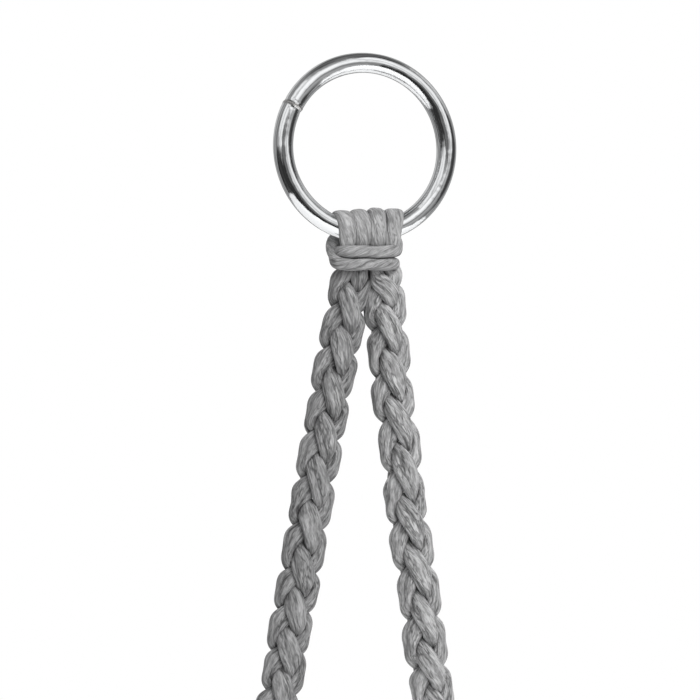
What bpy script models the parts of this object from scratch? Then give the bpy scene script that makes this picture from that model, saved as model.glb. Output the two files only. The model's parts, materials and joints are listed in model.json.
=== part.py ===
"""Hanging end of a rope hammock.

A welded steel ring carries four soft cords folded over its bottom. One cord's
back leg binds the other legs with two turns just below the ring, and the eight
legs then run down as two round braids of four strands, whipped at their cut
ends. +Z is up, the ring lies in the XZ plane and -Y is the front. The origin
is the hook seat: the middle of the ring's inner surface at the top.

Lengths are in millimetres in the ring's own frame (X right, Y back, Z up, zero
at the ring's centre). at() turns them into world metres.
"""

import math
from dataclasses import dataclass

import bpy
from mathutils import Vector

MM = 0.001
GAP = 0.3  # clearance between touching pieces

# ring
RING_RADIUS = 34.0  # to the middle of the wire: 60 mm clear inside
WIRE_RADIUS = 4.0
RING_STEPS = 48
WIRE_STEPS = 15  # odd, so a flat facet faces the ring's centre
RING_CENTRE_Z = -(  # in the world, measured to the faceted surface
    RING_RADIUS - WIRE_RADIUS * math.cos(math.pi / WIRE_STEPS)
) * math.cos(math.pi / RING_STEPS)

# the four cords over the ring, counted from the left
CORD_COUNT = 4
CORD_RADIUS = 2.05
HUG_RADIUS = WIRE_RADIUS + GAP + CORD_RADIUS  # from the wire's middle to a cord's middle
BIGHT_TURN = 15.2  # degrees of ring between neighbouring cords
BIGHT_REACH = 56.0  # degrees of wire covered on each side of the top
BIGHT_STEPS = 8
BIGHT_WIDTH = 1.7  # sideways scale: the cords are pressed flat on the wire

# legs in the knot: they start wide apart, close up and hang straight
LEG_RADIUS = 1.9
LEG_TOP_SPACING = 6.7
LEG_TOP_Y = 6.4
LEG_TOP_Z = -37.3
LEG_SPACING = 5.2
LEG_Y = 2.35  # front and back rows
LEG_CLOSING = 3.2  # height over which the legs close up
LEG_CLOSING_STEPS = 4
LEG_STRAIGHT_Z = (-43.5, -49.8)  # levels below the closing

# binding: a rounded rectangle seen from above
BIND_RADIUS = 2.15
BIND_X = 13.0  # half width
BIND_Y = 7.55  # half depth
BIND_CORNER = 5.0
BIND_CORNER_STEPS = 4
BIND_ENTRY_Z = -41.9  # start of the first turn
BAR_1_Z = -42.1  # first turn across the front
BAR_2_Z = -47.0  # second turn across the front
# x, y, z of the cord's ends: in from behind the ring, out to the back right
BIND_LEAD_IN = [(-11.0, BIND_Y - 0.4, -38.0), (-12.6, 4.3, -40.2)]
BIND_LEAD_OUT = [(12.4, 3.0, -48.0), (11.0, 5.6, -49.3), (9.4, 7.3, -50.4)]

# braids
STRAND_RADIUS = 1.86  # the same cord drawn tight
BRAID_RADIUS = 4.56  # mean distance of a strand from the axis
BRAID_SWING = 2.3  # how far a strand moves in and out
STEPS_PER_LOBE = 6
END_CLEARANCE = 0.3  # of a step: no point lies closer than this to a length's end
HINGE_GAP = 1.2  # half the opening left between hinged lengths of rope
PACKED_RADIUS = STRAND_RADIUS * math.sqrt(2) + GAP  # strands packed two by two
GATHER = 4.0  # length over which the strands close up above the whipping
TAIL = 7.5  # strand left at the cut end

# whipping
WHIP_LENGTH = 9.0
WHIP_THICKNESS = 1.1
WHIP_CHAMFER = 0.35
WHIP_DROP = 0.4  # from the end of the gathering to the whipping's top
WHIP_STEPS = 20

# cord shades of grey: one of seven, chosen by the piece's name
SHADE_MIDDLE = 0.27
SHADE_STEP = 0.012
SHADE_COUNT = 7


def at(x, y, z):
    """World position in metres of a point given in the ring's frame."""
    return Vector((x * MM, y * MM, (z + RING_CENTRE_Z) * MM))


def ease(t):
    """Smooth rise from 0 to 1."""
    return t * t * (3 - 2 * t)


@dataclass
class Braid:
    """A leaning braid; s is the distance in millimetres down its axis."""

    name: str
    side: int  # -1 left, 1 right
    x: float  # top of the axis
    z: float  # first front lobe
    lean_degrees: float  # outwards
    lobe: float  # half a lay: one lobe to the next along the axis
    splay_z: float  # level of the top joint
    start_z: float  # level where the strands begin
    bend_lobes: float  # the other joints and the strands' closing up, in lobes
    sway_lobes: float
    bind_lobes: float

    def __post_init__(self):
        self.lean = math.radians(self.lean_degrees)

    def distance_to(self, z):
        """s at a Z level."""
        return (self.z - z) / math.cos(self.lean)

    def axis_point(self, s):
        return at(
            self.x + self.side * s * math.sin(self.lean),
            0,
            self.z - s * math.cos(self.lean),
        )

    def strand_point(self, strand, s, packed=False):
        """Middle of a strand.

        Two strands turn one way and two the other, each pair swinging out over
        the other pair as they cross. Packed strands form a square of four.
        """
        phase = math.pi * s / self.lobe
        way = 1 if strand < 2 else -1
        angle = way * phase + (math.pi if strand % 2 else 0.0)
        if packed:
            radius = PACKED_RADIUS
        else:
            radius = BRAID_RADIUS + way * BRAID_SWING * math.cos(2 * phase)
        across = radius * math.sin(angle)
        return self.axis_point(s) + MM * Vector((
            across * math.cos(self.lean),
            -radius * math.cos(angle),
            self.side * across * math.sin(self.lean),
        ))

    def strand_run(self, strand, low, high):
        """Strand points from low to high, on the braid's own steps."""
        step = self.lobe / STEPS_PER_LOBE
        clear = END_CLEARANCE * step
        inside = [
            k * step
            for k in range(math.floor(low / step) + 1, math.ceil(high / step) + 1)
            if low + clear < k * step < high - clear
        ]
        return [self.strand_point(strand, s) for s in (low, *inside, high)]

    def strand_tail(self, strand, s_bind):
        """Strand closing up, straight through the whipping, and cut square."""
        down = Vector((self.side * math.sin(self.lean), 0, -math.cos(self.lean))) * MM
        loose = self.strand_point(strand, s_bind)
        packed = self.strand_point(strand, s_bind, packed=True)
        return [
            loose.lerp(packed, 0.5) + down * GATHER * 0.5,
            packed + down * GATHER,
            packed + down * (GATHER + WHIP_LENGTH + TAIL),
        ]


BRAIDS = [
    Braid("left", side=-1, x=-6.3, z=-47.4, lean_degrees=10.2, lobe=17.07, splay_z=-51.4,
          start_z=-54.3, bend_lobes=4.5, sway_lobes=8.0, bind_lobes=10.75),
    Braid("right", side=1, x=6.8, z=-52.6, lean_degrees=7.5, lobe=19.57, splay_z=-52.3,
          start_z=-53.4, bend_lobes=3.5, sway_lobes=7.0, bind_lobes=9.25),
]


# ---------------------------------------------------------------- materials
def material(name, colour, roughness, metallic=0.0):
    mat = bpy.data.materials.new(name)
    mat.use_nodes = True
    bsdf = mat.node_tree.nodes["Principled BSDF"]
    bsdf.inputs["Base Color"].default_value = (*colour, 1.0)
    bsdf.inputs["Roughness"].default_value = roughness
    bsdf.inputs["Metallic"].default_value = metallic
    mat.diffuse_color = (*colour, 1.0)
    return mat


def steel_material():
    return material("ring", colour=(0.74, 0.75, 0.76), roughness=0.13, metallic=1.0)


def cord_material(name):
    """Soft grey cord, named after its piece."""
    pick = sum(map(ord, name)) % SHADE_COUNT - SHADE_COUNT // 2
    shade = SHADE_MIDDLE + SHADE_STEP * pick
    return material(name, colour=(shade, shade, shade), roughness=0.9)


# ---------------------------------------------------------------- building blocks
pivot_places = {}  # world position of each pivot, by name


def add_object(name, data, parent):
    obj = bpy.data.objects.new(name, data)
    parts.objects.link(obj)
    obj.parent = parent
    return obj


def pivot(name, position, parent=None):
    """An empty on a joint's axis."""
    empty = add_object(name, None, parent)
    empty.empty_display_size = 0.01
    empty.location = position - pivot_places[parent.name] if parent else position
    pivot_places[name] = position
    return empty


def tube(name, points, radius, parent):
    """A round cord through world points, its origin on its parent's axis."""
    curve = bpy.data.curves.new(name, "CURVE")
    curve.dimensions = "3D"
    curve.bevel_depth = radius * MM
    curve.bevel_resolution = 2
    curve.use_fill_caps = True
    spline = curve.splines.new("POLY")
    spline.points.add(len(points) - 1)
    for spot, place in zip(spline.points, points):
        spot.co = (*(place - pivot_places[parent.name]), 1.0)
    curve.materials.append(cord_material(name))
    return add_object(name, curve, parent)


# ---------------------------------------------------------------- pieces
def build_ring():
    bpy.ops.mesh.primitive_torus_add(
        major_segments=RING_STEPS,
        minor_segments=WIRE_STEPS,
        major_radius=RING_RADIUS * MM,
        minor_radius=WIRE_RADIUS * MM,
        location=at(0, 0, 0),
        # half a step about Y puts a facet, not an edge, at the very top
        rotation=(math.pi / 2, math.pi / RING_STEPS, 0),
    )
    ring = bpy.context.object
    ring.name = "ring"
    for owner in list(ring.users_collection):
        owner.objects.unlink(ring)
    parts.objects.link(ring)
    ring.data.materials.append(steel_material())
    ring.data.shade_smooth()


def build_bight(column, parent):
    """One cord's fold over the wire, drawn at the ring's bottom and turned into place."""
    arc = []
    for step in range(BIGHT_STEPS + 1):
        angle = math.radians(BIGHT_REACH * (2 * step / BIGHT_STEPS - 1))
        arc.append(at(0, HUG_RADIUS * math.sin(angle), HUG_RADIUS * math.cos(angle) - RING_RADIUS))
    bight = tube(f"cord_{column + 1}_bight", arc, CORD_RADIUS, parent)
    bight.scale = (BIGHT_WIDTH, 1, 1)
    turn = (column - (CORD_COUNT - 1) / 2) * BIGHT_TURN
    bight.rotation_euler = (0, -math.radians(turn), 0)


def build_leg(column, row, side, parent):
    """From beside the wire, in behind the binding, and straight down."""
    from_middle = column - (CORD_COUNT - 1) / 2
    low_x = from_middle * LEG_SPACING
    path = []
    for step in range(LEG_CLOSING_STEPS + 1):
        done = step / LEG_CLOSING_STEPS
        share = ease(done)
        x = from_middle * (LEG_TOP_SPACING + (LEG_SPACING - LEG_TOP_SPACING) * share)
        y = LEG_TOP_Y + (LEG_Y - LEG_TOP_Y) * share
        path.append(at(x, side * y, LEG_TOP_Z - LEG_CLOSING * done))
    path += [at(low_x, side * LEG_Y, z) for z in LEG_STRAIGHT_Z]
    tube(f"cord_{column + 1}_{row}_leg", path, LEG_RADIUS, parent)


def bind_corner(x_side, y_side, start):
    """x, y of a quarter turn, anticlockwise seen from above."""
    points = []
    for step in range(BIND_CORNER_STEPS + 1):
        angle = math.radians(start + 90 * step / BIND_CORNER_STEPS)
        points.append((
            x_side * (BIND_X - BIND_CORNER) + BIND_CORNER * math.cos(angle),
            y_side * (BIND_Y - BIND_CORNER) + BIND_CORNER * math.sin(angle),
        ))
    return points


def build_binding(parent):
    """Two turns, level across the front and falling round the sides and back."""
    front_left = bind_corner(-1, -1, 180)
    front_right = bind_corner(1, -1, 270)
    back_right = bind_corner(1, 1, 0)
    back_left = bind_corner(-1, 1, 90)
    around = back_right + back_left + front_left

    path = list(BIND_LEAD_IN)
    for i, (x, y) in enumerate(front_left):
        share = ease(i / BIND_CORNER_STEPS)
        path.append((x, y, BIND_ENTRY_Z + (BAR_1_Z - BIND_ENTRY_Z) * share))
    path += [(x, y, BAR_1_Z) for x, y in front_right]
    for i, (x, y) in enumerate(around, start=1):
        path.append((x, y, BAR_1_Z + (BAR_2_Z - BAR_1_Z) * ease(i / len(around))))
    path += [(x, y, BAR_2_Z) for x, y in front_right]
    path += BIND_LEAD_OUT
    tube("cord_1_binding", [at(*point) for point in path], BIND_RADIUS, parent)


def build_whipping(braid, s_top, parent):
    """Twine wound round the gathered strands: a turned band."""
    name = f"{braid.name}_whipping"
    inner = PACKED_RADIUS + STRAND_RADIUS + GAP
    outer = inner + WHIP_THICKNESS
    half = WHIP_LENGTH / 2
    profile = [  # radius, z
        (outer - WHIP_CHAMFER, half),
        (outer, half - WHIP_CHAMFER),
        (outer, WHIP_CHAMFER - half),
        (outer - WHIP_CHAMFER, -half),
        (inner, -half),
        (inner, half),
    ]
    points = [(radius * MM, 0, z * MM) for radius, z in profile]
    edges = [(i, (i + 1) % len(points)) for i in range(len(points))]
    mesh = bpy.data.meshes.new(name)
    mesh.from_pydata(points, edges, [])
    mesh.materials.append(cord_material(name))
    band = add_object(name, mesh, parent)
    screw = band.modifiers.new("turn", "SCREW")
    screw.axis = "Z"
    screw.angle = 2 * math.pi
    screw.steps = WHIP_STEPS
    screw.render_steps = WHIP_STEPS
    screw.use_merge_vertices = True
    screw.merge_threshold = 0.00001
    screw.use_smooth_shade = True
    band.location = braid.axis_point(s_top + half) - pivot_places[parent.name]
    band.rotation_euler = (0, -braid.side * braid.lean, 0)


def build_braid(braid, parent):
    """Three hinged lengths of four strands, whipped at the end."""
    s_splay = braid.distance_to(braid.splay_z)
    s_start = braid.distance_to(braid.start_z)
    s_bend = braid.bend_lobes * braid.lobe
    s_sway = braid.sway_lobes * braid.lobe
    s_bind = braid.bind_lobes * braid.lobe

    splay = pivot(f"{braid.name}_splay_axis", braid.axis_point(s_splay), parent)
    bend = pivot(f"{braid.name}_bend_axis", braid.axis_point(s_bend), splay)
    sway = pivot(f"{braid.name}_sway_axis", braid.axis_point(s_sway), bend)

    lengths = [
        ("upper", s_start, s_bend - HINGE_GAP, splay),
        ("middle", s_bend + HINGE_GAP, s_sway - HINGE_GAP, bend),
        ("lower", s_sway + HINGE_GAP, s_bind, sway),
    ]
    for strand, letter in enumerate("abcd"):
        for length, low, high, joint in lengths:
            path = braid.strand_run(strand, low, high)
            if length == "lower":
                path += braid.strand_tail(strand, s_bind)
            tube(f"{braid.name}_{length}_strand_{letter}", path, STRAND_RADIUS, joint)
    build_whipping(braid, s_bind + GATHER + WHIP_DROP, sway)


# ---------------------------------------------------------------- assembly
for old in list(bpy.data.objects):
    bpy.data.objects.remove(old, do_unlink=True)

parts = bpy.data.collections.new("rope_hammock_end")
bpy.context.scene.collection.children.link(parts)

ring_axis = pivot("ring_axis", at(0, 0, 0))
wire_axis = pivot("wire_axis", at(0, 0, -RING_RADIUS), ring_axis)

build_ring()
for column in range(CORD_COUNT):
    build_bight(column, ring_axis)
    build_leg(column, "front", -1, wire_axis)
    if column > 0:  # the first cord's back leg is the binding
        build_leg(column, "back", 1, wire_axis)
build_binding(wire_axis)
for braid in BRAIDS:
    build_braid(braid, wire_axis)
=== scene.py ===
"""Two braided ropes hitched over a welded steel ring.

Four cords are folded over the bottom of the ring. Cord 1 is wound round the other legs as
a binding; below it the eight legs part into two four-strand braids, left and right, each
whipped with twine near its cut end. The ring stands in the XZ plane.
"""
import json
import math

import bpy
import numpy as np
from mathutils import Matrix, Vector


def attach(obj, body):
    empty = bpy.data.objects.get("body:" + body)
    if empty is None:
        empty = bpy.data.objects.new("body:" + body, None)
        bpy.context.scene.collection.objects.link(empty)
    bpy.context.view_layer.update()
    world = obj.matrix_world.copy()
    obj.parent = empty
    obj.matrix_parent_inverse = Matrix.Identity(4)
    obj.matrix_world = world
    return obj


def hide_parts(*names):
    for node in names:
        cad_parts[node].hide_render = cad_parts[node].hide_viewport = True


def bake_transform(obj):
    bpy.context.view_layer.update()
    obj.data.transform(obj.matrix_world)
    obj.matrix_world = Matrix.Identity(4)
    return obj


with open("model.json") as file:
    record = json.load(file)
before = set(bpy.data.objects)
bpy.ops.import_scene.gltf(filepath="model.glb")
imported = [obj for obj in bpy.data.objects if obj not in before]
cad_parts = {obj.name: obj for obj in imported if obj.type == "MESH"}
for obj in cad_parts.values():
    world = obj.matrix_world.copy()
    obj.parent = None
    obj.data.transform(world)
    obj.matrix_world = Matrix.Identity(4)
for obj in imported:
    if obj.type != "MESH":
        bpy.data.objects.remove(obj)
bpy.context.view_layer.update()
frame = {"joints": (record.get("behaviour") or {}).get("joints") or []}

# Shapes are worked out in millimetres from the ring's centre (X right, Y back, Z up),
# which is where the hitch_slide joint sits.
MM = 0.001
JOINTS = {joint["name"]: np.array(joint["pos_m"]) / MM for joint in frame["joints"]}
CENTRE = JOINTS["hitch_slide"]
PIVOT = {name: place - CENTRE for name, place in JOINTS.items()}
UP = np.array((0.0, 0.0, 1.0))
FRONT, BACK = -1, 1                        # sign of Y on each side of the ring

# ------------------------------------------------------------------ sizes
RING_R = -PIVOT["hitch_swing"][2]          # to the middle of the wire
WIRE_R = 4.0
AROUND = 60                                # points round a cord
STEP = 0.5                                 # spacing of the rings of points along it

# the four cords over the wire, from the left: on top, beside the wire and under the binding
TOP_X = (-10.2, -3.2, 4.2, 11.8)
SIDE_X = (-9.2, -3.0, 3.2, 9.6)
LEG_X = (-8.3, -2.9, 2.8, 8.2)
TOP_THICK = (3.0, 5.2, 5.8, 3.8)
TOP_WIDE = (7.5, 7.9, 7.9, 7.7)
SIDE_THICK = 4.3
SIDE_WIDE = (7.1, 6.9, 6.9, 7.1)
LEG_Y = 2.95
LEG_WIDE = 5.6
CORD_GAP = 0.12                            # between the wire and a cord
BULGE = (0.0, 0.0, 1.1, 2.6)               # front legs pushed right below the binding

# a strand in a braid swings far out in one plane and a little in the other
SWING_OUT, SWING_OUT_3 = 6.45, -0.30       # first and third harmonics
SWING_IN = 2.3
BRAID_WIDE = dict(out=9.0, middle=9.1, into=8.0)
BRAID_THICK = dict(out=5.1, middle=6.7, into=4.6)
PACKED = 2.93                              # axis to strand, packed under the whipping
GATHER, WHIP, TAIL = 4.0, 9.0, 7.5         # lengths from the end of the braid to the cut end
TAIL_WIDE = 4.15

# station given to rows above the ropes, and looseness of the twist in each stretch
OVER_STATION, LEG_STATION = -60.0, -30.0
BOUND, KNOTTED, BRAIDED = -0.6, 0.0, 1.0

# the binding, from cord 1's left side round to the back: x y z, width, thickness
BINDING_PATH = (
    (-10.4, 7.0, -36.6, 6.2, 5.0), (-12.0, 5.7, -38.0, 6.4, 5.9), (-12.6, 3.2, -39.9, 6.4, 6.0),
    (-12.9, 0.4, -42.2, 6.2, 5.9), (-13.1, -2.6, -45.0, 6.0, 5.2), (-12.4, -6.2, -47.0, 5.3, 4.8),
    (-8.6, -8.2, -47.3, 5.0, 4.6), (-3.5, -8.4, -47.1, 4.9, 4.7), (2.5, -8.3, -47.2, 4.9, 4.7),
    (7.4, -7.7, -47.0, 4.9, 4.5), (10.6, -5.0, -46.6, 4.9, 4.2), (11.6, 0.0, -46.0, 5.0, 4.0),
    (10.6, 5.0, -45.4, 5.0, 3.8), (6.6, 7.3, -45.0, 5.0, 3.6), (0.0, 7.6, -44.4, 5.2, 4.0),
    (-6.6, 7.0, -43.8, 5.0, 4.0), (-10.6, 4.4, -43.2, 4.6, 3.2), (-12.0, 0.4, -42.6, 4.4, 3.0),
    (-12.3, -3.6, -42.2, 4.8, 3.6), (-10.4, -6.9, -42.0, 5.1, 4.5), (-4.5, -8.2, -42.1, 5.2, 4.8),
    (2.0, -8.2, -42.1, 5.2, 4.8), (7.6, -7.6, -41.9, 5.2, 4.6), (11.3, -4.9, -41.0, 5.4, 4.7),
    (12.7, -1.2, -38.7, 7.0, 5.0), (12.2, 3.8, -38.2, 5.6, 4.6), (10.2, 7.4, -41.0, 5.2, 3.8),
    (9.2, 9.8, -45.0, 5.4, 3.6), (8.7, 8.4, -48.8, 5.4, 4.6), (8.2, 7.1, -51.6, 5.6, 5.2),
)
BINDING_HALF_X, BINDING_HALF_Y = 13.0, 8.0
BINDING_START = (6.2, 4.2)                 # width, thickness beside the wire
BINDING_MERGE = (-51.0, -58.5)             # like a rope's merge

# where a cord's pieces part below the knot, as Z
KNOT_EXIT, BINDING_EXIT = -46.9, -49.6

# the rope and strand that each cord, from the left, becomes
STRANDS = {
    FRONT: (("left", "c"), ("left", "a"), ("right", "a"), ("right", "c")),
    BACK: (("right", "b"), ("left", "b"), ("left", "d"), ("right", "d")),
}


# ------------------------------------------------------------------ curves
def ease(share):
    share = np.clip(share, 0.0, 1.0)
    return share * share * (3 - 2 * share)


def smooth(values, sigma):
    """Gaussian smoothing down the first axis, sigma in samples."""
    half = int(math.ceil(3 * sigma))
    kernel = np.exp(-0.5 * (np.arange(-half, half + 1) / sigma) ** 2)
    kernel /= kernel.sum()
    flat = values.reshape(len(values), -1)
    before = 2 * flat[:1] - flat[half:0:-1]
    after = 2 * flat[-1:] - flat[-2:-half - 2:-1]
    padded = np.vstack((before, flat, after))
    done = np.stack([np.convolve(column, kernel, "valid") for column in padded.T], 1)
    return done.reshape(values.shape)


def unit(vectors):
    return vectors / np.maximum(np.linalg.norm(vectors, axis=-1, keepdims=True), 1e-9)


def dot(first, second):
    return np.sum(first * second, 1)


def travelled(place):
    """Length along a curve at each of its points."""
    gaps = np.linalg.norm(np.diff(place, axis=0), axis=1)
    return np.concatenate(([0], np.cumsum(gaps)))


def through(points, step=0.4):
    """Catmull-Rom curve through points; each row may carry extra columns."""
    points = np.array(points, float)
    points = np.vstack((2 * points[0] - points[1], points, 2 * points[-1] - points[-2]))
    out = []
    for i in range(1, len(points) - 2):
        p0, p1, p2, p3 = points[i - 1:i + 3]
        count = max(2, int(np.linalg.norm((p2 - p1)[:3]) / step))
        t = np.arange(count)[:, None] / count
        out.append(0.5 * (2 * p1 + (p2 - p0) * t + (2 * p0 - 5 * p1 + 4 * p2 - p3) * t ** 2
                          + (3 * p1 - p0 - 3 * p2 + p3) * t ** 3))
    out.append(points[-2][None])
    return np.vstack(out)


def wander(rng, x, wave, size):
    """Smooth random values along x."""
    total = np.zeros_like(x)
    for _ in range(4):
        cycle = 2 * math.pi * x / (wave * rng.uniform(0.7, 1.6))
        total += math.sqrt(0.5) * np.sin(cycle + rng.uniform(0, 6.28))
    return size * total


# ------------------------------------------------------------------ the ropes' axes
class Rope:
    """The straight axis of a braid. Stations are mm down it; a lobe is half a turn of the braid.

    bend, sway, bind: lobes down to the two joints and to the end of the braid
    first_turn: degrees at the first entry of slip
    slip: how far each quarter turn sits below an even lay, in mm
    drift: sideways wander of the axis, as (station, mm)
    merge: Z where the legs start to join the braid, and where they are fully in it
    cuts: lobes at which strands a and b, and c and d, are cut into pieces
    """

    def __init__(self, name, bend, sway, bind, first_turn, merge, cuts, slip, drift):
        top = PIVOT[f"{name}_rope_bend"]
        run = PIVOT[f"{name}_rope_sway"] - top
        length = np.linalg.norm(run)
        self.name, self.merge, self.cuts = name, merge, cuts
        self.lobe = length / (sway - bend)
        self.down = run / length
        self.fall = -self.down[2]          # drop in Z per mm of rope
        self.zero = top - self.down * self.lobe * bend
        self.across = np.array((self.fall, 0.0, self.down[0]))
        self.bind_turn = bind * math.pi
        self.bind = bind * self.lobe
        self.end = self.bind + GATHER + WHIP + TAIL

        turns = first_turn + 90.0 * np.arange(len(slip))
        at = turns / 180 * self.lobe + np.array(slip) / self.fall
        turns = np.radians(turns)
        # a further quarter turn at each end
        at = np.concatenate(([at[0] - self.lobe / 2], at, [at[-1] + self.lobe / 2]))
        quarter = math.pi / 2
        turns = np.concatenate(([turns[0] - quarter], turns, [turns[-1] + quarter]))
        grid = np.arange(-30.0, self.end + 30.0, 0.25)
        self.turn_table = grid, smooth(np.interp(grid, at, turns), 12)

        stations, shifts = zip(*drift)
        grid = np.arange(-30.0, self.end + 30.0, 0.5)
        self.drift_table = grid, smooth(np.interp(grid, stations, shifts), 10)
        self.end_drift = shifts[-1]
        splay = np.linalg.norm(PIVOT[f"{name}_rope_splay"] - self.zero)
        # station near each joint, and a reach either way from it
        self.blends = ((splay + 6.0, 8.5), (bend * self.lobe, 14.0), (sway * self.lobe, 14.0))

    def turn_at(self, station):
        """Turn of the braid, in radians."""
        return np.minimum(np.interp(station, *self.turn_table), self.bind_turn)

    def station_at(self, z):
        return (self.zero[2] - z) / self.fall

    def place(self, station, x, y):
        """Points at x across the rope and y behind its axis."""
        middle = self.zero + np.outer(station, self.down) + np.outer(x, self.across)
        return middle + np.outer(y, (0, 1, 0))

    def outward(self, angle):
        """Directions out from the axis, turning from the front."""
        return np.outer(np.sin(angle), self.across) - np.outer(np.cos(angle), (0, 1, 0))

    def world_point(self, station):
        return tuple((self.zero + self.down * station + CENTRE) * MM)


ROPES = {rope.name: rope for rope in (
    Rope("left", bend=4.5, sway=8.0, bind=10.75, first_turn=0, merge=(-47.2, -55.5),
         cuts=dict(ab=(2.5, 6.5), cd=(2.0, 6.0)),
         slip=(.2, 0, 0, .4, .2, 0, .9, .9, .4, .5, 1.1, 2.3, 2.7, 2.7, 3.9, 2.7, 1.6, 1.8, 1.4,
               .4, .4, .2),
         drift=((0, 1.0), (10, 1.5), (26, 1.4), (43, .7), (61, 1.0), (77, .8), (95, .9),
                (113, 1.0), (130, 1.4), (145, .7), (162, 1.6), (175, 1.5), (186, 1.0))),
    Rope("right", bend=3.5, sway=7.0, bind=9.25, first_turn=-90, merge=(-48.0, -57.5),
         cuts=dict(ab=(1.5, 5.5), cd=(2.0, 5.0)),
         slip=(6.9, 3.4, -.1, .5, -.6, -.8, -1.0, -2.4, -.4, -1.0, .9, -.3, .8, -.5, .8, .2, 1.0,
               1.0, -.2, 0),
         drift=((0, -.2), (10, -.4), (29, -1.0), (48, -1.9), (69, -1.1), (91, -2.1),
                (110, -1.6), (129, -.9), (148, -1.4), (166, -.6), (181, -.4))),
)}


# ------------------------------------------------------------------ paths of the cords
def swung(size, out, into):
    """A strand's size, from how far out or in it is swung."""
    middle = size["middle"]
    return middle + (size["out"] - middle) * out + (size["into"] - middle) * into


def braid(rope, strand, station, rng):
    """Position, outward direction, width and thickness of a strand."""
    turn = rope.turn_at(station)
    sign = 1.0 if strand in "ac" else -1.0
    if strand in "ab":
        x = sign * SWING_IN * np.sin(turn)
        y = -sign * (SWING_OUT * np.cos(turn) + SWING_OUT_3 * np.cos(3 * turn))
        angle, swing = turn, np.cos(2 * turn)
    else:
        x = -sign * (SWING_OUT * np.sin(turn) - SWING_OUT_3 * np.sin(3 * turn))
        y = -sign * SWING_IN * np.cos(turn)
        angle, swing = -turn, -np.cos(2 * turn)
    if sign < 0:
        angle = angle + math.pi
    out, into = np.maximum(swing, 0) ** 1.3, np.maximum(-swing, 0) ** 1.3
    vary = wander(rng, station, wave=31.0, size=0.05)
    wide = swung(BRAID_WIDE, out, into) * (1 + vary)
    thick = swung(BRAID_THICK, out, into) * (1 - vary)
    x = x * (1 + wander(rng, station, wave=40.0, size=0.03))

    # packed under the whipping, then opening a little towards the cut end
    gather = ease((station - rope.bind) / GATHER)
    flare = 0.7 * np.maximum(0, (station - rope.end + TAIL) / TAIL) ** 2
    x += (PACKED * np.sin(angle) - x) * gather + flare * np.sin(angle)
    y += (-PACKED * np.cos(angle) - y) * gather - flare * np.cos(angle)
    wide += (TAIL_WIDE + 0.6 * flare - wide) * gather
    thick += (TAIL_WIDE + 0.4 * flare - thick) * gather
    drift = np.interp(station, *rope.drift_table)
    return rope.place(station, drift + x, y), rope.outward(angle), wide, thick


def rows(place, normal, wide, thick, station, loose):
    """A table: x y z, nx ny nz, width, thickness, station down the rope, looseness."""
    count = len(place)
    columns = [np.broadcast_to(np.asarray(value, float), (count,)).reshape(count, 1)
               for value in (wide, thick, station, loose)]
    return np.hstack((place, np.broadcast_to(normal, (count, 3)), *columns))


def over_wire(k, face):
    """From the top of the wire down beside it."""
    angle = np.radians(np.linspace(0, 98, 40))
    share = angle / angle[-1]
    x = TOP_X[k] + (SIDE_X[k] - TOP_X[k]) * share
    thick = TOP_THICK[k] + (SIDE_THICK - TOP_THICK[k]) * ease(share * 1.4)
    wide = TOP_WIDE[k] + (SIDE_WIDE[k] - TOP_WIDE[k]) * share
    reach = WIRE_R + CORD_GAP + thick / 2
    wire_z = -np.sqrt(RING_R ** 2 - x ** 2)
    out_y, out_z = face * np.sin(angle), np.cos(angle)
    place = np.stack((x, reach * out_y, wire_z + reach * 1.03 * out_z), 1)
    normal = np.stack((np.zeros_like(x), out_y, out_z), 1)
    return rows(place, normal, wide, thick, OVER_STATION, KNOTTED)


def leg(k, face, start):
    """In under the binding."""
    x, y, z = start
    path = through([                       # x y z, width, thickness
        (x, y, z, SIDE_WIDE[k], SIDE_THICK),
        (x * 0.985, face * 5.9, -37.4, SIDE_WIDE[k], SIDE_THICK),
        (LEG_X[k] * 1.05, face * 4.6, -40.0, 6.0, 4.6),
        (LEG_X[k], face * 3.5, -42.6, LEG_WIDE, 5.0),
        (LEG_X[k], face * LEG_Y, -45.0, LEG_WIDE, 5.3),
        (LEG_X[k], face * LEG_Y, -46.6, LEG_WIDE, 5.4),
    ])[1:]
    return rows(path[:, :3], (0, face, 0), path[:, 3], path[:, 4], LEG_STATION, KNOTTED)


def binding(start):
    """Cord 1 behind the wire: down the left side, two turns, and off the back."""
    path = through([(*start, *BINDING_START), *BINDING_PATH])[1:]
    normal = unit(np.stack(((path[:, 0] / BINDING_HALF_X) ** 3 / BINDING_HALF_X,
                            (path[:, 1] / BINDING_HALF_Y) ** 3 / BINDING_HALF_Y,
                            np.zeros(len(path))), 1))
    station = np.full(len(path), LEG_STATION)
    station[-24:] = np.linspace(-10.0, -1.2, 24)
    return rows(path[:, :3], normal, path[:, 3], path[:, 4], station, BOUND)


def down_rope(rope, strand, start, rng, merge, bulge=0.0, begin_wide=LEG_WIDE, begin_thick=5.4):
    """Out of the knot at start and down the braid to the cut end."""
    x, y, z = start
    station = np.arange(rope.station_at(z), rope.end, 0.4)
    place, normal, wide, thick = braid(rope, strand, station, rng)
    level = rope.zero[2] - station * rope.fall
    share = ease((merge[0] - level) / (merge[0] - merge[1]))
    column = share[:, None]
    pushed = x + bulge * np.exp(-((level + 50.6) / 2.9) ** 2)
    begin = np.stack((pushed, np.full_like(station, y), level), 1)
    place = begin + (place - begin) * column
    normal = np.array((0, np.sign(y), 0)) * (1 - column) + normal * column
    wide = begin_wide + (wide - begin_wide) * share
    thick = begin_thick + (thick - begin_thick) * share
    return rows(place, normal, wide, thick, station, share)


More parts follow.
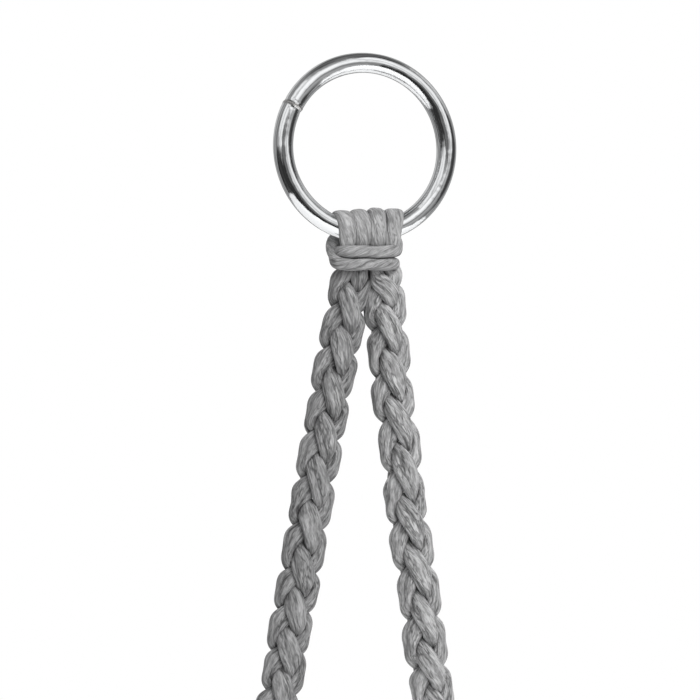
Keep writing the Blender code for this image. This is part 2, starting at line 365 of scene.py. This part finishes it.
def half_cord(k, face, rng):
    """One half of a cord, from the top of the wire to its cut end."""
    name, strand = STRANDS[face][k]
    rope = ROPES[name]
    bound = k == 0 and face == BACK
    head = over_wire(k, face)
    start = head[-1, :3]
    knot = binding(start) if bound else leg(k, face, start)
    options = {}
    if face == FRONT:
        options = dict(bulge=BULGE[k], begin_wide=6.8 if k == 3 else LEG_WIDE)
    merge = BINDING_MERGE if bound else rope.merge
    return np.vstack((head, knot, down_rope(rope, strand, knot[-1, :3], rng, merge, **options)))


def spaced(table, step):
    """The rows again, evenly spaced along the curve."""
    length = travelled(table[:, :3])
    even = np.linspace(0, length[-1], int(length[-1] / step))
    return np.stack([np.interp(even, length, column) for column in table.T], 1)


def join(back, front):
    """The whole cord, back end to front end; a last column is -1 behind and 1 in front."""
    table = np.vstack((back[::-1], front[1:]))
    mark = np.concatenate((-np.ones(len(back)), np.ones(len(front) - 1)))
    table = np.hstack((table, mark[:, None]))
    gap = np.linalg.norm(np.diff(table[:, :3], axis=0), axis=1)
    table = spaced(table[np.concatenate(([True], gap > 1e-4))], 0.25)
    ends = table[[0, -1], :3].copy()
    # position, normal, sizes and looseness
    for first, last, sigma in ((0, 3, 4.5), (3, 6, 9), (6, 8, 5), (9, 10, 16)):
        table[:, first:last] = smooth(table[:, first:last], sigma)
    table[[0, -1], :3] = ends
    return spaced(table, STEP)


# ------------------------------------------------------------------ meshes
# A grid is a dict of arrays over rings of points: points, normals, fibre, crease.
def transport(tangent):
    """A frame that follows the curve without turning about it."""
    first = np.zeros_like(tangent)
    start = np.cross(tangent[0], UP if abs(tangent[0][2]) < 0.9 else (1, 0, 0))
    first[0] = start / np.linalg.norm(start)
    for i in range(1, len(tangent)):
        level = first[i - 1] - tangent[i] * (first[i - 1] @ tangent[i])
        first[i] = level / np.linalg.norm(level)
    return first, np.cross(tangent, first)


def by_looseness(loose, bound, knotted, braided):
    """A column of values that follow the looseness of the twist."""
    return np.interp(loose, (BOUND, KNOTTED, BRAIDED), (bound, knotted, braided))[:, None]


def yarn_creases(theta, length, rng):
    """Lines that come and go between the yarns; fewer, bolder lines first."""
    along = length[:, None]
    crease = np.zeros_like(theta)
    for count in (5, 7, 9, 11, 13, 16, 19):
        wave = rng.choice((-1, 1)) * rng.uniform(45, 130)
        bend = wander(rng, length, rng.uniform(14, 30), size=0.35)[:, None]
        phase = (count * theta + 2 * math.pi * along / wave) / 2 + bend + rng.uniform(0, 6.28)
        line = 1 - np.abs(np.sin(phase))
        patch = wander(rng, length, rng.uniform(9, 18), size=0.55)[:, None]
        patch = patch * np.cos(theta * rng.integers(1, 3) + rng.uniform(0, 6.28)
                               + along / rng.uniform(9, 16))
        sharpness, strength = (3.0, 1.3) if count < 9 else (2.6, 0.8)
        crease += np.clip(0.35 + patch, 0, 1) * line ** sharpness * strength
    return crease


def skin(place, normal, wide, thick, loose, rng, plies=3, groove=0.17, lay=(70.0, 130.0),
         creases=1.0, around=AROUND):
    """Grid round a twisted cord, with its grooves and the creases between its yarns.

    lay is the length of a full twist, knotted and braided.
    """
    length = travelled(place)
    tangent = unit(np.gradient(place, axis=0))
    normal = unit(normal - tangent * dot(normal, tangent)[:, None])
    side = np.cross(tangent, normal)
    first, second = transport(tangent)
    turn = np.unwrap(np.arctan2(dot(normal, second), dot(normal, first)))
    rate = 2 * math.pi / (lay[0] + (lay[1] - lay[0]) * loose)
    turned = np.concatenate(([0], np.cumsum(rate[1:] * np.diff(length))))
    twist = rng.uniform(0, 6.28) - turned
    section = np.arange(around) * 2 * math.pi / around
    theta = section[None, :] + (turn - twist)[:, None]     # round the cord, turning with its plies
    along = length[:, None]

    uneven = wander(rng, length, wave=23.0, size=0.10)[:, None]
    cusp = 1 - np.abs(np.cos(plies / 2 * (theta + uneven))) ** 0.8
    depth = groove * by_looseness(loose, bound=0.85, knotted=0.55, braided=1.0)
    depth = depth * (1 + wander(rng, length, wave=17.0, size=0.22)[:, None])
    crease = yarn_creases(theta, length, rng)
    crease = crease * by_looseness(loose, bound=0.6, knotted=0.55, braided=1.0)
    shape = 1 - depth * cusp - 0.046 * creases * crease
    shape = shape + 0.012 * np.cos(2 * theta + along / 5 + rng.uniform(0, 6.28))   # slightly oval

    # a squarish section where the cord is packed tight
    square = (0.80 + 0.10 * np.maximum(loose, 0))[:, None]
    cosine, sine = np.cos(section)[None, :], np.sin(section)[None, :]
    out = np.sign(cosine) * np.abs(cosine) ** square * shape * (thick / 2)[:, None]
    sideways = np.sign(sine) * np.abs(sine) ** square * shape * (wide / 2)[:, None]
    points = (place[:, None, :] + normal[:, None, :] * out[..., None]
              + side[:, None, :] * sideways[..., None])

    step_along = np.gradient(points, axis=0)
    step_around = np.roll(points, -1, 1) - np.roll(points, 1, 1)
    radius = 2.6                           # of the even cylinder that carries the fibre pattern
    fibre = np.stack((radius * np.cos(theta), radius * np.sin(theta),
                      np.broadcast_to(along, theta.shape)), -1)
    # the crease mask follows the grooves and yarn lines; the fabric darkens it as painted shade
    return dict(points=points, normals=unit(np.cross(step_around, step_along)), fibre=fibre,
                crease=np.clip(cusp ** 2 * 0.9 + 0.30 * crease, 0, 1))


def cut_end(grid, place, tangent, rng):
    """Closes a cut end with the ends of its fibres: rings that close in on the middle."""
    ring = grid["points"][-1]
    edge = grid["fibre"][-1]
    ring_count, height = 7, 0.9
    added = dict(points=[], normals=[], fibre=[], crease=[])
    for i in range(1, ring_count + 1):
        share = 1 - (i / (ring_count + 0.6))
        dome = height * math.sqrt(max(0.0, 1 - share ** 2))
        rough = rng.normal(0, 0.13 if i > 1 else 0.05, len(ring))[:, None]
        tilt = rng.normal(0, 0.25, (len(ring), 3))
        added["points"].append(place + (ring - place) * share + tangent * (dome + rough))
        added["normals"].append(unit(tangent + unit(ring - place) * share * 0.8 + tilt))
        added["fibre"].append(np.stack((edge[:, 0] * share, edge[:, 1] * share,
                                        edge[:, 2] + dome * 3), 1))
        added["crease"].append(rng.uniform(0, 0.5, len(ring)))
    return {key: np.vstack((grid[key], values)) for key, values in added.items()}


def add_object(name, data):
    obj = bpy.data.objects.new(name, data)
    bpy.context.scene.collection.objects.link(obj)
    return obj


def tube_object(name, grid, mat, wrap=False):
    """A mesh from a grid, closed at both ends (or joined up when wrap is set)."""
    points = grid["points"]
    rings, around = points.shape[:2]
    flat = (points.reshape(-1, 3) + CENTRE) * MM
    normals = grid["normals"].reshape(-1, 3)
    fibre = grid["fibre"].reshape(-1, 3)
    crease = grid["crease"].reshape(-1)
    i = np.arange(rings if wrap else rings - 1)[:, None]
    j = np.arange(around)
    after = (j + 1) % around
    next_ring = (i + 1) % rings * around
    quads = np.stack((i * around + j, i * around + after, next_ring + after, next_ring + j), -1)
    quads = quads.reshape(-1, 4)
    tris = np.zeros((0, 3), int)
    if not wrap:
        middles = [points[row].mean(0) for row in (0, 1, -2, -1)]
        flat = np.vstack((flat, (np.stack((middles[0], middles[3])) + CENTRE) * MM))
        normals = np.vstack((normals, unit(middles[0] - middles[1]), unit(middles[3] - middles[2])))
        fibre = np.vstack((fibre, grid["fibre"][0].mean(0), grid["fibre"][-1].mean(0)))
        crease = np.concatenate((crease, (0.2, 0.2)))
        tip, last = rings * around, (rings - 1) * around
        tris = np.vstack((np.stack((after, j, np.full(around, tip)), 1),
                          np.stack((last + j, last + after, np.full(around, tip + 1)), 1)))
    mesh = bpy.data.meshes.new(name)
    mesh.vertices.add(len(flat))
    mesh.vertices.foreach_set("co", flat.astype(np.float32).ravel())
    loops = np.concatenate((quads.ravel(), tris.ravel())).astype(np.int32)
    mesh.loops.add(len(loops))
    mesh.loops.foreach_set("vertex_index", loops)
    starts = np.concatenate((np.arange(len(quads)) * 4,
                             len(quads) * 4 + np.arange(len(tris)) * 3)).astype(np.int32)
    mesh.polygons.add(len(starts))
    mesh.polygons.foreach_set("loop_start", starts)
    mesh.update(calc_edges=True)
    mesh.validate()
    mesh.shade_smooth()
    for key, values, kind, field in (("fibre", fibre, "FLOAT_VECTOR", "vector"),
                                     ("crease", crease, "FLOAT", "value")):
        layer = mesh.attributes.new(key, kind, "POINT")
        layer.data.foreach_set(field, values.astype(np.float32).ravel())
    mesh.normals_split_custom_set_from_vertices([tuple(normal) for normal in normals])
    mesh.materials.append(mat)
    obj = add_object(name, mesh)
    return obj


# ------------------------------------------------------------------ materials
class Graph:
    """Small helper for wiring shader nodes."""

    def __init__(self, tree):
        self.tree = tree

    def fill(self, node, inputs):
        """Links or sets a node's inputs; colours may leave out alpha."""
        for key, value in inputs.items():
            socket = node.inputs[key]
            if isinstance(value, bpy.types.NodeSocket):
                self.tree.links.new(value, socket)
            elif socket.type == "RGBA" and len(value) == 3:
                socket.default_value = (*value, 1)
            else:
                socket.default_value = value

    def node(self, kind, inputs, **settings):
        made = self.tree.nodes.new(kind)
        for key, value in settings.items():
            setattr(made, key, value)
        self.fill(made, inputs)
        return made

    def attribute(self, name, output):
        return self.node("ShaderNodeAttribute", {}, attribute_name=name).outputs[output]

    def maths(self, operation, *values):
        return self.node("ShaderNodeMath", dict(enumerate(values)), operation=operation).outputs[0]

    def add(self, first, second):
        return self.maths("ADD", first, second)

    def times(self, first, second):
        return self.maths("MULTIPLY", first, second)

    def dot(self, vector, fixed):
        return self.node("ShaderNodeVectorMath", {0: vector, 1: tuple(fixed)},
                         operation="DOT_PRODUCT").outputs["Value"]

    def stretch(self, vector, along):
        """Scales a fibre vector along the cord or wire only."""
        return self.node("ShaderNodeMapping",
                         {"Vector": vector, "Scale": (1.0, 1.0, along)}).outputs[0]

    def noise(self, scale, detail, roughness=0.5, vector=None):
        inputs = {"Scale": scale, "Detail": detail, "Roughness": roughness}
        if vector is not None:
            inputs["Vector"] = vector
        return self.node("ShaderNodeTexNoise", inputs).outputs["Fac"]

    def ramp(self, value, *stops):
        """Greys from (position, grey) stops."""
        made = self.node("ShaderNodeValToRGB", {"Fac": value})
        elements = made.color_ramp.elements
        while len(elements) < len(stops):
            elements.new(0.5)
        for element, (at, grey) in zip(elements, stops):
            element.position = at
            element.color = (grey, grey, grey, 1)
        return made.outputs["Color"]

    def mix(self, factor, first, second, blend="MIX"):
        return self.node("ShaderNodeMix", {0: factor, 6: first, 7: second},
                         data_type="RGBA", blend_type=blend).outputs[2]

    def darken(self, colour, by, factor=1.0):
        return self.mix(factor, colour, by, "MULTIPLY")

    def bump(self, height, strength, distance):
        return self.node("ShaderNodeBump", {"Height": height, "Strength": strength,
                                            "Distance": distance}).outputs["Normal"]


def new_material(name):
    """A material, its graph and its Principled node."""
    mat = bpy.data.materials.new(name)
    mat.use_nodes = True
    return mat, Graph(mat.node_tree), mat.node_tree.nodes["Principled BSDF"]


def cord_fabric(name, tone=1.0, grain=1.0):
    """Soft spun cord: fine fibres along the plies, mottled dye, painted shade in creases, cracks
    and contact hollows, a little sheen.

    tone scales the brightness (the cord pieces get painted light and shade through it), grain the
    contrast of the fibres.
    """
    mat, graph, bsdf = new_material(name)
    ramp = graph.ramp
    fibre = graph.attribute("fibre", "Vector")
    crease = graph.attribute("crease", "Fac")
    fine = graph.noise(scale=1.9, detail=2.0, roughness=0.75, vector=graph.stretch(fibre, 0.15))
    thread_at = graph.stretch(fibre, 0.17)
    thread = graph.noise(scale=1.35, detail=1.0, vector=thread_at)
    # painted shade in thin cracks between the fibres, where the thread noise crosses its middle, in
    # patches only
    off_middle = graph.maths("ABSOLUTE", graph.maths("SUBTRACT", thread, 0.5))
    crack = ramp(off_middle, (0.0, 0.15), (0.045, 0.50), (0.10, 1.0))
    patches = graph.noise(scale=0.55, detail=1.0, vector=thread_at)
    crack = graph.mix(ramp(patches, (0.44, 0.15), (0.56, 1.0)), (1.0, 1.0, 1.0), crack)
    blotch = graph.noise(scale=0.16, detail=2.0, vector=fibre)
    # painted shade: an ambient occlusion node darkens the hollows where cords press together
    painted_contact_shade = graph.node("ShaderNodeAmbientOcclusion", {"Distance": 0.0022}, samples=6)

    base = (0.328 * tone, 0.328 * tone, 0.330 * tone)
    dark = tuple((1 - 0.38 * grain) * channel for channel in base)
    light = tuple((1 + 0.26 * grain) * channel for channel in base)
    colour = graph.mix(ramp(fine, (0.38, 0.0), (0.62, 1.0)), dark, light)
    colour = graph.darken(colour, ramp(thread, (0.34, 0.88), (0.66, 1.06)))
    # painted shade in the cracks between fibres
    colour = graph.darken(colour, crack, factor=0.75 * grain)
    colour = graph.darken(colour, ramp(blotch, (0.32, 0.92), (0.68, 1.06)))
    # painted shade in the grooves between plies and yarns
    colour = graph.darken(colour, ramp(crease, (0.0, 1.0), (0.45, 0.90), (0.8, 0.66), (1.0, 0.42)))
    # painted shade in the hollows where cords press together
    colour = graph.darken(colour, ramp(painted_contact_shade.outputs["AO"], (0.10, 0.42), (0.34, 0.80),
                                       (0.60, 1.0)))
    height = graph.add(graph.times(fine, 0.7), graph.times(thread, 0.7))
    height = graph.add(height, graph.times(crack, 0.35))
    graph.fill(bsdf, {
        "Base Color": colour,
        "Normal": graph.bump(height, strength=0.8, distance=0.0006),
        "Roughness": graph.add(0.74, graph.times(fine, 0.22)),
        "Specular IOR Level": 0.25,
        "Sheen Weight": 0.12,
        "Sheen Roughness": 0.45,
        "Sheen Tint": (0.9, 0.9, 0.92),
    })
    return mat


def plated_steel():
    """Plated ring: near mirror, with faint lines along the wire, dents and a rough weld."""
    mat, graph, bsdf = new_material("plated_steel")
    fibre = graph.attribute("fibre", "Vector")
    weld = graph.attribute("crease", "Fac")
    lines = graph.noise(scale=2.4, detail=3.0, roughness=0.6, vector=graph.stretch(fibre, 0.03))
    dents = graph.noise(scale=0.10, detail=2.0, vector=fibre)
    specks = graph.noise(scale=1.7, detail=4.0, roughness=0.7, vector=fibre)
    speckled = graph.times(graph.ramp(specks, (0.45, 0.0), (0.75, 1.0)), 0.12)
    rough = graph.add(graph.add(0.07, speckled), graph.times(weld, 0.25))
    height = graph.add(graph.times(lines, 0.35), graph.times(dents, 6.0))
    height = graph.add(height, graph.times(graph.times(specks, weld), 3.0))
    graph.fill(bsdf, {
        "Base Color": graph.mix(weld, (0.80, 0.81, 0.82), (0.52, 0.51, 0.50)),
        "Roughness": rough,
        "Normal": graph.bump(height, strength=0.55, distance=0.00012),
        "Metallic": 1.0,
    })
    return mat


def fabrics(name, tones, first=0, grain=1.0):
    return [cord_fabric(f"{name}_{i}", tone, grain) for i, tone in enumerate(tones, first)]


# one fabric for each cord, from the left; the tones are painted light and shade on one dye, set per
# piece
CORD = fabrics("cord_fabric", (0.92, 0.94, 0.98, 0.97), first=1, grain=0.72)
# painted shade on the left rope and painted light on the right rope: the same dye at different
# tones
ROPE_CORD = {"left": fabrics("left_rope_shaded_fabric", (0.77, 0.80, 0.75, 0.78)),
             "right": fabrics("right_rope_lit_fabric", (1.07, 1.10, 1.05, 1.08))}
TWINE = cord_fabric("twine_fabric", 0.9)
STEEL = plated_steel()


# ------------------------------------------------------------------ the ring
def ring_grid():
    """Wire bent round and welded: the butt joint shows as a small step and a rough bead."""
    rng = np.random.default_rng(11)
    rings, around = 480, 56
    weld_at = math.radians(152.4)          # from the right, towards the top
    turn = np.arange(rings) * 2 * math.pi / rings
    section = np.arange(around) * 2 * math.pi / around
    away = ((turn - weld_at + math.pi) % (2 * math.pi) - math.pi) * RING_R   # mm from the weld
    gap = np.abs(away)
    radial = np.stack((np.cos(turn), np.zeros(rings), np.sin(turn)), 1)
    step_out = 0.16 * np.sign(away) * np.exp(-gap / 5.0) * ease(gap / 0.5)
    step_back = 0.12 * np.sign(away) * np.exp(-gap / 4.0)
    middle = radial * (RING_R + step_out)[:, None] + np.outer(step_back, (0, 1, 0))
    bead = np.exp(-(away / 0.5) ** 2)[:, None]
    neck = np.exp(-((gap - 1.3) / 0.45) ** 2)[:, None]
    lumps = rng.normal(0, 1, (rings, around))
    lumps = sum(np.roll(lumps, shift, 1) for shift in (0, 1, -1, 2)) / 2
    wave = 0.035 * np.sin(3 * turn + 0.7) + 0.02 * np.sin(7 * turn)
    size = (WIRE_R + wave)[:, None] + bead * (0.16 + 0.10 * lumps) - neck * 0.07
    cosine, sine = np.cos(section), np.sin(section)
    out = radial[:, None, :] * cosine[:, None] + np.outer(sine, (0, 1.0, 0))
    points = middle[:, None, :] + out * size[..., None]
    step_along = np.roll(points, -1, 0) - np.roll(points, 1, 0)
    step_around = np.roll(points, -1, 1) - np.roll(points, 1, 1)
    shape = (rings, around)
    fibre = np.stack((np.broadcast_to(WIRE_R * cosine, shape),
                      np.broadcast_to(WIRE_R * sine, shape),
                      np.broadcast_to(gap[:, None], shape)), -1)
    crease = np.broadcast_to(np.exp(-(away / 0.7) ** 2)[:, None], shape)
    return dict(points=points, normals=unit(np.cross(step_around, step_along)), fibre=fibre,
                crease=crease)


ring = tube_object("steel_ring", ring_grid(), STEEL, wrap=True)
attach(ring, "ring")
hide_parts("ring")


def make_cord(k):
    """One cord: a piece over the ring, and three pieces down the rope from each of its ends."""
    rng = np.random.default_rng(100 + k)
    front = half_cord(k, FRONT, rng)
    back = half_cord(k, BACK, rng)
    table = join(back, front)
    place, normal = table[:, :3], table[:, 3:6]
    wide, thick, station, loose, mark = table[:, 6:].T
    grid = skin(place, normal, wide, thick, loose, rng)
    tangent = unit(np.gradient(place, axis=0))
    top = int(np.argmax(mark >= 0))

    def row_at(face, limit):
        """First row past a station, going outwards from the top of the wire."""
        if face == FRONT:
            return top + int(np.argmax(station[top:] > limit))
        return top - int(np.argmax(station[:top + 1][::-1] > limit))

    def part(first, last):
        low, high = sorted((first, last))
        return {key: values[low:high + 1] for key, values in grid.items()}

    cuts = {}
    for face in (FRONT, BACK):
        name, strand = STRANDS[face][k]
        rope = ROPES[name]
        leaves = BINDING_EXIT if k == 0 and face == BACK else KNOT_EXIT
        lobes = rope.cuts["ab" if strand in "ab" else "cd"]
        limits = (rope.station_at(leaves), lobes[0] * rope.lobe, lobes[1] * rope.lobe)
        cuts[face] = [row_at(face, limit) for limit in limits]
        cuts[face].append(len(place) - 1 if face == FRONT else 0)

    over = tube_object(f"cord_{k + 1}_over_ring", part(cuts[BACK][0], cuts[FRONT][0]),
                       CORD[k])
    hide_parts(f"cord_{k + 1}_bight", f"cord_{k + 1}_front_leg",
                f"cord_{k + 1}_back_leg" if k else "cord_1_binding")
    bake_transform(over)
    over.visible_glossy = k != 0           # keeps cord 1 out of the wire's reflections

    for face in (FRONT, BACK):
        name, strand = STRANDS[face][k]
        rope = ROPES[name]
        for i, level in enumerate(("upper", "middle", "lower")):
            piece = part(*cuts[face][i:i + 2])
            if level == "lower":
                if face == BACK:           # turned round, so that the cut end comes last
                    piece = {key: values[::-1, ::-1] for key, values in piece.items()}
                tip = cuts[face][-1]
                piece = cut_end(piece, place[tip], tangent[tip] * -face, rng)
            obj = tube_object(f"{name}_{level}_strand_{strand}_fabric", piece,
                              ROPE_CORD[name][k])
            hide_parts(f"{name}_{level}_strand_{strand}")
            middle, reach = rope.blends[i]
            rope.world_point(middle - reach)
            rope.world_point(middle + reach)
            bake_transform(obj)


for k in range(4):
    make_cord(k)


# ------------------------------------------------------------------ the whippings
def make_whipping(rope, seed):
    """Thin twine wound tightly round the four strands, its ends tucked under."""
    rng = np.random.default_rng(seed)
    twine, pitch, inset = 1.12, 1.06, 0.45
    turns = (WHIP - 2 * inset) / pitch
    angle = np.linspace(0, 2 * math.pi * turns, int(turns * 72))
    hug = 5.0 + 0.28 * np.cos(4 * (angle - rope.bind_turn))
    # both ends dive in between the strands
    steps = np.arange(len(angle))
    up = ease(np.minimum(steps, steps[::-1]) / 22.0)
    radius = hug + twine / 2 - 1.5 * (1 - up)
    station = (rope.bind + GATHER + inset + twine / 2 + pitch * angle / (2 * math.pi)
               + wander(rng, angle, wave=9.0, size=0.03))
    place = rope.place(station, radius * np.sin(angle) + rope.end_drift, -radius * np.cos(angle))
    size = np.full(len(place), twine)
    grid = skin(place, rope.outward(angle), size, size, np.zeros(len(place)), rng, plies=2,
                groove=0.16, lay=(3.2, 3.2), creases=0.3, around=14)
    wound = tube_object(f"{rope.name}_whipping_twine", grid, TWINE)
    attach(wound, f"{rope.name}_lower")
    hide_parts(f"{rope.name}_whipping")


make_whipping(ROPES["left"], seed=31)
make_whipping(ROPES["right"], seed=32)

# ------------------------------------------------------------------ floor, camera and lights
scene = bpy.context.scene
AZIMUTH = math.radians(-15.5)              # of the camera, round Z from the front
TO_RIGHT = np.array((math.cos(AZIMUTH), math.sin(AZIMUTH), 0.0))
TO_CAMERA = np.array((math.sin(AZIMUTH), -math.cos(AZIMUTH), 0.0))


def make_floor(radius=0.46, z=-0.335):
    """A pale disc, in metres."""
    edge = [(radius * math.cos(math.radians(turn)), radius * math.sin(math.radians(turn)), z)
            for turn in range(0, 360, 4)]
    mesh = bpy.data.meshes.new("floor")
    mesh.from_pydata(edge, [], [tuple(range(len(edge)))])
    floor = add_object("floor", mesh)
    pale, graph, bsdf = new_material("pale_floor")
    grain = graph.noise(scale=240.0, detail=2.0)
    graph.fill(bsdf, {"Base Color": graph.mix(grain, (0.88, 0.88, 0.88), (0.92, 0.92, 0.92)),
                      "Roughness": 0.9})
    mesh.materials.append(pale)


def make_camera(shift=-6.29, level=-81.0, distance=778.75):
    """Level camera; shift and level place its aim, in mm to the right and up."""
    data = bpy.data.cameras.new("camera")
    data.lens = 100
    data.sensor_width = 36
    data.clip_start, data.clip_end = 0.01, 20
    camera = add_object("camera", data)
    aim = TO_RIGHT * shift + UP * (level + CENTRE[2])
    camera.location = (aim + TO_CAMERA * distance) * MM
    camera.rotation_euler = (math.pi / 2, 0, AZIMUTH)
    scene.camera = camera


def soft_light(name, azimuth, elevation, distance, size, power):
    """A square soft light; azimuth runs in degrees from the front towards the right."""
    azimuth, elevation = math.radians(azimuth), math.radians(elevation)
    way = Vector((math.sin(azimuth) * math.cos(elevation),
                  -math.cos(azimuth) * math.cos(elevation), math.sin(elevation)))
    data = bpy.data.lights.new(name, "AREA")
    data.size = size
    data.energy = power
    obj = add_object(name, data)
    obj.location = Vector((0, 0, -0.13)) + way * distance
    obj.rotation_mode = "QUATERNION"
    obj.rotation_quaternion = way.to_track_quat("Z", "Y")
    obj.visible_glossy = False


make_floor()
make_camera()
soft_light("key", azimuth=14, elevation=44, distance=1.1, size=0.6, power=11.5)
soft_light("fill", azimuth=5, elevation=5, distance=1.3, size=0.9, power=6.0)
soft_light("behind", azimuth=192, elevation=22, distance=1.3, size=1.0, power=9.0)

# ------------------------------------------------------------------ world
# round patches seen in the ring: turn about the view direction, angle from it, radius and
# softness in degrees, brightness
PATCHES = (
    (270, 18, 26, 3, 0.03), (46, 53, 33, 4, 1.00), (200, 67, 25, 3, 0.05), (130, 39, 25, 4, 0.98),
    (0, 88, 24, 4, 0.09), (303, 74, 25, 4, 0.92), (83, 95, 33, 6, 0.16), (39, 109, 15, 3, 0.95),
    (58, 39, 19, 3, 1.15), (0, 18, 10, 2, 0.14), (244, 60, 15, 3, 0.90), (202, 39, 15, 3, 0.04),
    (90, 4, 9, 2, 0.16), (144, 130, 24, 5, 0.62), (85, 60, 18, 3, 0.30), (267, 116, 42, 8, 0.50),
)
# thin dark seams: angle from the view direction and half width in degrees, depth
SEAMS = ((38, 6, 0.45), (80, 9, 0.65), (112, 10, 0.55))
SEAM_WANDER = 50                           # degrees


def studio_colour(graph, direction):
    """What the polished ring sees: a pale room with dark gaps, round the view direction."""
    polar = graph.maths("ARCCOSINE", graph.dot(direction, TO_CAMERA))
    edge_noise = graph.noise(scale=2.6, detail=3.0, vector=direction)
    seam_noise = graph.noise(scale=1.3, detail=1.0, vector=direction)
    studio = (0.40, 0.40, 0.40)
    for turn, angle, radius, soft, bright in PATCHES:
        turn, angle = math.radians(turn), math.radians(angle)
        sideways = TO_RIGHT * math.cos(turn) + UP * math.sin(turn)
        way = TO_CAMERA * math.cos(angle) + sideways * math.sin(angle)
        off = graph.maths("ARCCOSINE", graph.dot(direction, way))
        ragged = graph.times(graph.maths("SUBTRACT", edge_noise, 0.5), 0.22)
        mask = graph.node("ShaderNodeMapRange", {
            "Value": graph.add(off, ragged), "From Min": math.radians(radius + soft),
            "From Max": math.radians(radius - soft), "To Min": 0.0, "To Max": 1.0,
        }, interpolation_type="SMOOTHSTEP").outputs["Result"]
        studio = graph.mix(mask, studio, (bright, bright, bright))
    for angle, half_width, depth in SEAMS:
        middle = graph.add(math.radians(angle - SEAM_WANDER / 2),
                           graph.times(seam_noise, math.radians(SEAM_WANDER)))
        off = graph.maths("SUBTRACT", polar, middle)
        off = graph.maths("DIVIDE", off, math.radians(half_width))
        line = graph.maths("EXPONENT", graph.times(graph.times(off, off), -1.0))
        studio = graph.darken(studio, graph.maths("SUBTRACT", 1.0, graph.times(line, depth)))
    # darker behind the ring
    rim = graph.node("ShaderNodeMapRange", {
        "Value": polar, "From Min": math.radians(140), "From Max": math.radians(165),
        "To Min": 1.0, "To Max": 0.55}).outputs["Result"]
    return graph.darken(studio, rim)


def make_world():
    """White to the camera, the studio to reflections, and soft light from above to the rest."""
    world = bpy.data.worlds.new("studio")
    scene.world = world
    world.use_nodes = True
    world.node_tree.nodes.clear()
    graph = Graph(world.node_tree)

    def background(colour, strength):
        return graph.node("ShaderNodeBackground",
                          {"Color": colour, "Strength": strength}).outputs[0]

    def choose(ray, otherwise, chosen):
        return graph.node("ShaderNodeMixShader",
                          {0: rays[ray], 1: otherwise, 2: chosen}).outputs[0]

    direction = graph.node("ShaderNodeTexCoord", {}).outputs["Generated"]
    rays = graph.node("ShaderNodeLightPath", {}).outputs
    upward = graph.node("ShaderNodeSeparateXYZ", {0: direction}).outputs["Z"]
    ambient = graph.ramp(graph.add(graph.times(upward, 0.5), 0.5),
                         (0.0, 0.30), (0.6, 0.42), (1.0, 0.55))
    glossy = background(studio_colour(graph, direction), strength=1.05)
    diffuse = background(ambient, strength=1.06)
    white = background((1, 1, 1), strength=1.0)
    surface = choose("Is Camera Ray", choose("Is Glossy Ray", diffuse, glossy), white)
    graph.node("ShaderNodeOutputWorld", {"Surface": surface})


make_world()
scene.view_settings.view_transform = "Standard"
